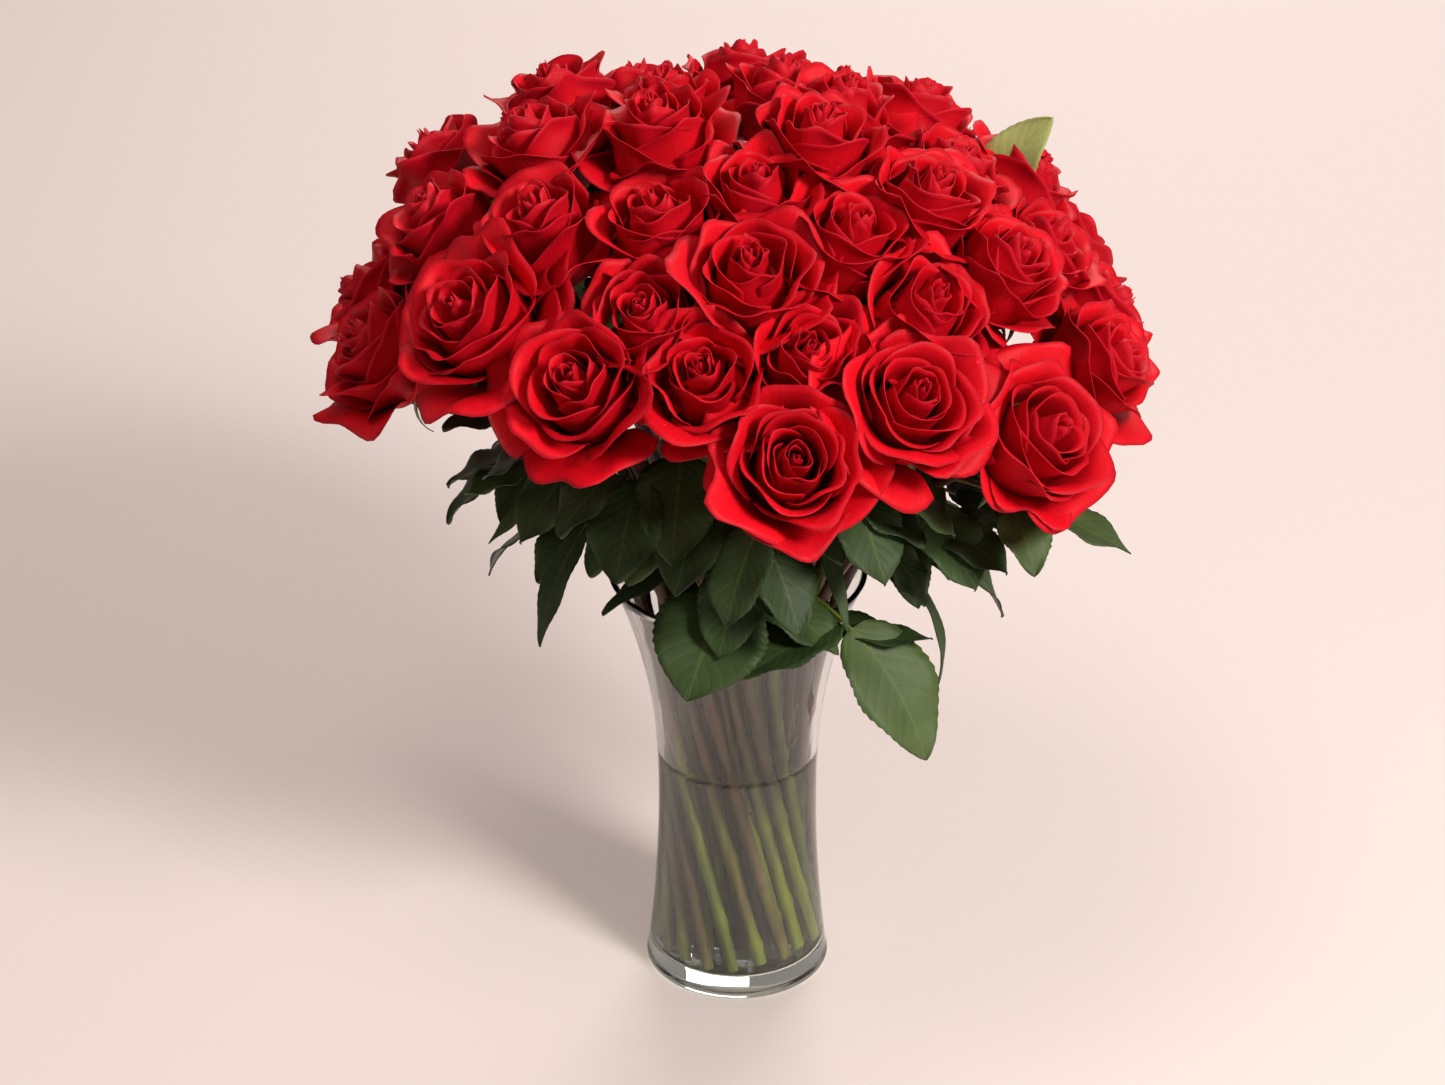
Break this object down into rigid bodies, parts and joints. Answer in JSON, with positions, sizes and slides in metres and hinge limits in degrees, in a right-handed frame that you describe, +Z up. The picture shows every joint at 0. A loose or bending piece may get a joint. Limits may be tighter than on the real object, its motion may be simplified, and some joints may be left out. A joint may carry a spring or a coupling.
{
  "type": "roses in a vase",
  "caption": "Domed bouquet of long-stemmed red roses with leaves, its spiralled stems standing in water in a flared clear glass vase.",
  "frame": {"origin": "middle of the vase's flat underside, on the surface it stands on", "axes": "+Z up through the vase and bouquet; -Y towards the viewer; +X to the viewer's right"},
  "size_m": [0.4408, 0.431, 0.5381],
  "materials": {
    "rose": "velvety saturated red petals with darker edges and a soft sheen",
    "leaf": "satin dark green rose foliage with paler veins",
    "stem": "satin olive green to reddish brown stems",
    "glass": "clear smooth blown glass",
    "water": "still clear water"
  },
  "bodies": {
    "root": {"rose_01": "rose", "rose_02": "rose", "rose_03": "rose", "rose_04": "rose", "rose_05": "rose", "rose_06": "rose", "rose_07": "rose", "rose_08": "rose", "rose_09": "rose", "rose_10": "rose", "rose_11": "rose", "rose_12": "rose", "rose_13": "rose", "rose_14": "rose", "rose_15": "rose", "rose_16": "rose", "rose_17": "rose", "rose_18": "rose", "rose_19": "rose", "rose_20": "rose", "rose_21": "rose", "rose_22": "rose", "rose_23": "rose", "rose_24": "rose", "rose_25": "rose", "rose_26": "rose", "rose_27": "rose", "rose_28": "rose", "rose_29": "rose", "rose_30": "rose", "rose_31": "rose", "rose_32": "rose", "rose_33": "rose", "rose_34": "rose", "rose_35": "rose", "rose_36": "rose", "rose_37": "rose", "rose_38": "rose", "rose_39": "rose", "rose_40": "rose", "rose_41": "rose", "rose_42": "rose", "rose_43": "rose", "rose_44": "rose", "rose_45": "rose", "rose_46": "rose", "rose_47": "rose", "rose_48": "rose", "vase": "glass", "water": "water"}
  },
  "joints": []
}
